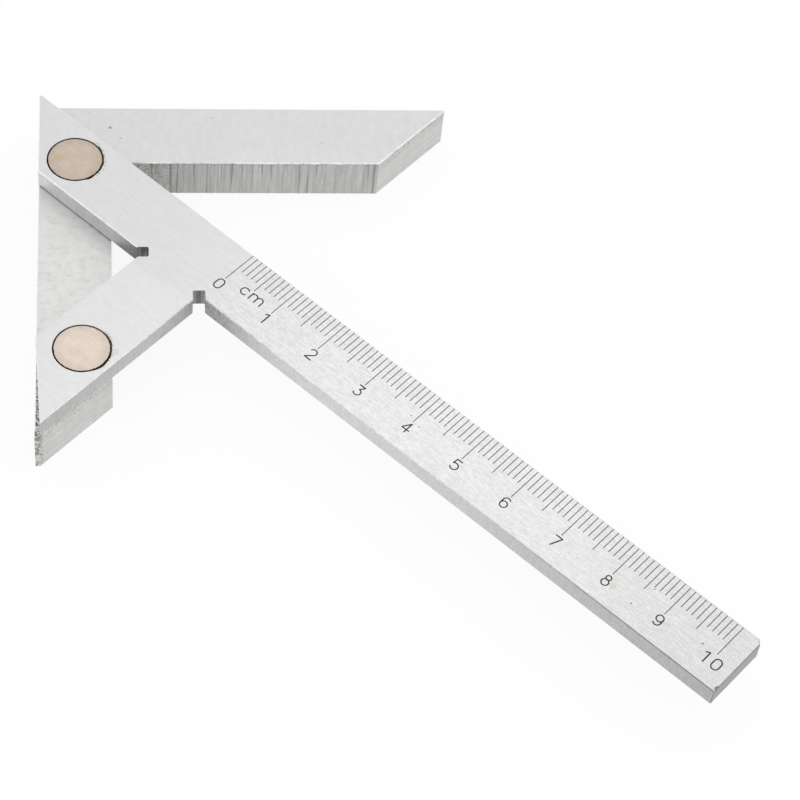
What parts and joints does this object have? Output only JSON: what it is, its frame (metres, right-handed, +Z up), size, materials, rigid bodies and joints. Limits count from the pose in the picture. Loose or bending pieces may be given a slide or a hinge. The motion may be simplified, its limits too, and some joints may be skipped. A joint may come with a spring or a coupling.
{
  "type": "centre-finding square",
  "caption": "Steel centre square: a graduated centimetre blade riveted across an L-shaped stock at 45 degrees, with a brace arm, for marking the centre of round work.",
  "frame": {"origin": "outer corner of the L-shaped stock, on its underside", "axes": "+X along one leg, -Y along the other leg, +Z up through the blade; the graduated edge starts over the origin and bisects the right angle"},
  "size_m": [0.1074, 0.1163, 0.0116],
  "materials": {
    "stock_steel": "milled and ground carbon steel, slightly rough",
    "blade_steel": "fine ground steel, grain along the blade",
    "rivet_steel": "soft steel rivets ground flush, warm tint",
    "engraving_paint": "matt dark paint wiped into the engraving"
  },
  "bodies": {
    "root": {"stock": "stock_steel", "blade": "blade_steel", "upper_rivet": "rivet_steel", "lower_rivet": "rivet_steel", "graduation_infill": "engraving_paint"}
  },
  "joints": []
}
